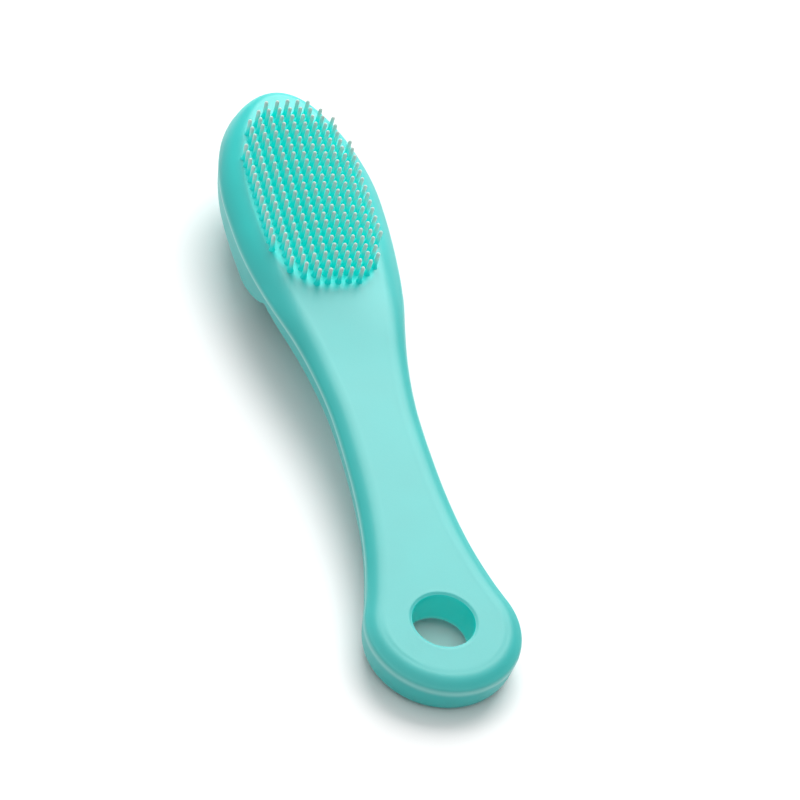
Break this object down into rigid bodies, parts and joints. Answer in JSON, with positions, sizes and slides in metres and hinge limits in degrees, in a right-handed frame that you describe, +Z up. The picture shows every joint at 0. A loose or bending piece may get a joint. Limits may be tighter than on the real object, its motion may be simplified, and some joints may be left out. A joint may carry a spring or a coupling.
{
  "type": "finger toothbrush",
  "caption": "Soft one-piece silicone brush: a domed pocket for a fingertip behind an oval head of short bristles, a slim flexing neck and a ring to hang it by.",
  "frame": {"origin": "middle of the brush's outline, on the surface it lies on, with the bristles up", "axes": "+X across the brush, +Y from the hanging ring to the tip of the head, +Z up, on the bristle side"},
  "size_m": [0.0248, 0.1178, 0.0201],
  "materials": {
    "silicone_body": "matte moulded silicone",
    "silicone_bristle": "matte moulded silicone, slightly clear"
  },
  "bodies": {
    "head": {"brush_head": "silicone_body", "finger_hood": "silicone_body", "mouth_lip": "silicone_body", "finger_rest": "silicone_body", "neck": "silicone_body", "bristle_row_01": "silicone_bristle", "bristle_row_02": "silicone_bristle", "bristle_row_03": "silicone_bristle", "bristle_row_04": "silicone_bristle", "bristle_row_05": "silicone_bristle", "bristle_row_06": "silicone_bristle", "bristle_row_07": "silicone_bristle", "bristle_row_08": "silicone_bristle", "bristle_row_09": "silicone_bristle", "bristle_row_10": "silicone_bristle", "bristle_row_11": "silicone_bristle", "bristle_row_12": "silicone_bristle", "bristle_row_13": "silicone_bristle", "bristle_row_14": "silicone_bristle", "bristle_row_15": "silicone_bristle", "bristle_row_16": "silicone_bristle", "bristle_row_17": "silicone_bristle", "bristle_row_18": "silicone_bristle", "bristle_row_19": "silicone_bristle", "bristle_row_20": "silicone_bristle", "bristle_row_21": "silicone_bristle", "bristle_row_22": "silicone_bristle", "bristle_row_23": "silicone_bristle"},
    "handle": {"handle": "silicone_body", "hang_ring": "silicone_body"}
  },
  "joints": [
    {"name": "neck_flex", "type": "hinge", "parent": "head", "child": "handle", "pos_m": [0, -0.0124, 0.00769], "axis": [1, 0, 0], "range_deg": [-35, 35], "stiffness_Nm_per_rad": 0.0155, "deforming": ["neck"]}
  ]
}
